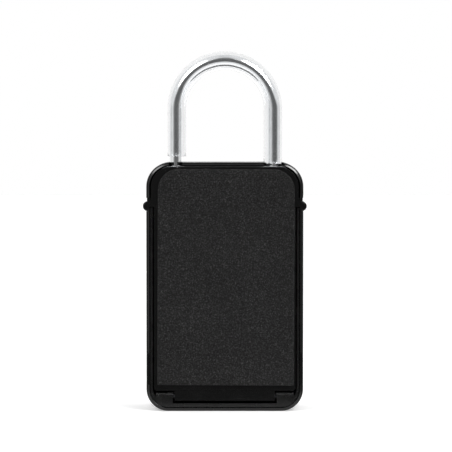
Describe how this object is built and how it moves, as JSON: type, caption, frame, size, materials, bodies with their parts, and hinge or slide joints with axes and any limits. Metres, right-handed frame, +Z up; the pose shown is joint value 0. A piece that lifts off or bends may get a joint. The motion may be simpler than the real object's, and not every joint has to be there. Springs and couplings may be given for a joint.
{
  "type": "combination padlock key box",
  "caption": "Portable key box with a padded hinged back, a lift-off shackle in a clear sleeve and thumb dials on its front.",
  "frame": {"origin": "on the standing surface, under the middle of the bounding box", "axes": "+Z up along the shackle's legs, -Y out of the padded back, +X to the right as the padded back is seen"},
  "size_m": [0.082, 0.04, 0.1797],
  "materials": {
    "shell_plastic": "satin moulded black",
    "frame_plastic": "fine moulded black",
    "foam": "fine closed-cell foam",
    "shackle_chrome": "polished",
    "clear_vinyl": "clear soft tube",
    "die_cast_zinc": "as cast",
    "zinc_plated_steel": "bright plated",
    "spring_steel": "drawn wire",
    "ring_brass": "machined",
    "dial_plastic": "fine moulded black",
    "digit_paint": "printed white",
    "black_steel": "blackened"
  },
  "bodies": {
    "case": {"outer_shell": "shell_plastic", "inner_frame": "frame_plastic", "shackle_block": "die_cast_zinc", "hinge_pin": "zinc_plated_steel", "dial_cage": "zinc_plated_steel", "detent_spring": "spring_steel", "block_screw_1": "zinc_plated_steel", "block_screw_2": "zinc_plated_steel", "frame_screw_1": "zinc_plated_steel", "frame_screw_2": "zinc_plated_steel", "guide_screw_1": "zinc_plated_steel", "guide_screw_2": "zinc_plated_steel"},
    "door": {"back_door": "shell_plastic", "foam_pad": "foam", "strike_right": "zinc_plated_steel", "strike_left": "zinc_plated_steel", "strike_rivet_right": "zinc_plated_steel", "strike_rivet_left": "zinc_plated_steel"},
    "shackle": {"shackle": "shackle_chrome", "shackle_sleeve": "clear_vinyl"},
    "lock_bar": {"lock_bar": "zinc_plated_steel", "lock_bar_spring": "spring_steel"},
    "release": {"release_button": "dial_plastic", "latch_plate": "zinc_plated_steel", "fence_bar": "zinc_plated_steel", "button_screw": "zinc_plated_steel", "latch_spring": "spring_steel"},
    "dial_1": {"dial_1": "dial_plastic", "code_ring_1": "ring_brass"},
    "dial_2": {"dial_2": "dial_plastic", "code_ring_2": "ring_brass"},
    "dial_3": {"dial_3": "dial_plastic", "code_ring_3": "ring_brass"},
    "dial_4": {"dial_4": "dial_plastic", "code_ring_4": "ring_brass"},
    "reset": {"reset_lever": "zinc_plated_steel", "dial_spindle": "zinc_plated_steel"}
  },
  "joints": [
    {"name": "door_hinge", "type": "hinge", "parent": "case", "child": "door", "pos_m": [0, -0.015, 0.0076], "axis": [1, 0, 0], "range_deg": [0, 90]},
    {"name": "shackle_lift", "type": "slide", "parent": "case", "child": "shackle", "axis": [0, 0, 1], "range_m": [0, 0.028]},
    {"name": "lock_bar_slide", "type": "slide", "parent": "case", "child": "lock_bar", "axis": [1, 0, 0], "range_m": [0, 0.005], "stiffness_N_per_m": 300, "springref_m": -0.003, "deforming": ["lock_bar_spring"]},
    {"name": "release_slide", "type": "slide", "parent": "case", "child": "release", "axis": [0, 0, -1], "range_m": [0, 0.0045], "stiffness_N_per_m": 400, "springref_m": -0.004, "deforming": ["latch_spring"]},
    {"name": "dial_1_spin", "type": "hinge", "parent": "case", "child": "dial_1", "pos_m": [-0.0165, 0.01, 0.074], "axis": [1, 0, 0], "continuous": true},
    {"name": "dial_2_spin", "type": "hinge", "parent": "case", "child": "dial_2", "pos_m": [-0.0055, 0.01, 0.074], "axis": [1, 0, 0], "continuous": true},
    {"name": "dial_3_spin", "type": "hinge", "parent": "case", "child": "dial_3", "pos_m": [0.0055, 0.01, 0.074], "axis": [1, 0, 0], "continuous": true},
    {"name": "dial_4_spin", "type": "hinge", "parent": "case", "child": "dial_4", "pos_m": [0.0165, 0.01, 0.074], "axis": [1, 0, 0], "continuous": true},
    {"name": "reset_slide", "type": "slide", "parent": "case", "child": "reset", "axis": [1, 0, 0], "range_m": [0, 0.0015]}
  ]
}
